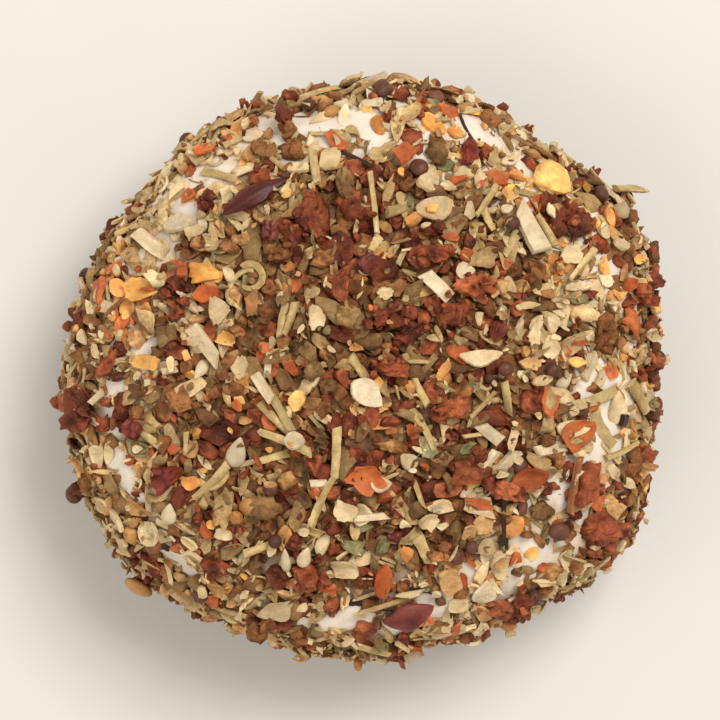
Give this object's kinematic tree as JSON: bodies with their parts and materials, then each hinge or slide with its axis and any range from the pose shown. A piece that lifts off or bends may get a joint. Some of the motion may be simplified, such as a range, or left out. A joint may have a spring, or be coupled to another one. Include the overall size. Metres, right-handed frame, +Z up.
{
  "type": "herb coated goat cheese round",
  "caption": "Small round of fresh goat cheese with rounded shoulders, rolled all over in dried vegetables, herbs and seeds, resting on its flat base.",
  "frame": {"origin": "middle of the flat base", "axes": "+Z up, out of the top of the cheese; +X to the right and +Y away, as seen from the front"},
  "size_m": [0.0655, 0.0635, 0.0314],
  "materials": {
    "coating": "dry crumbly mix of dried vegetables, herbs and seeds over soft white cheese, no gloss",
    "cheese_paste": "soft fresh cheese, creamy white, slightly moist",
    "dried_vegetable": "dried tomato, pepper and carrot, leathery with a faint gloss",
    "dried_herb": "dried leaf and straw, matt",
    "seed": "small hard seeds with a smooth skin"
  },
  "bodies": {
    "root": {"cheese": "coating"}
  },
  "joints": []
}
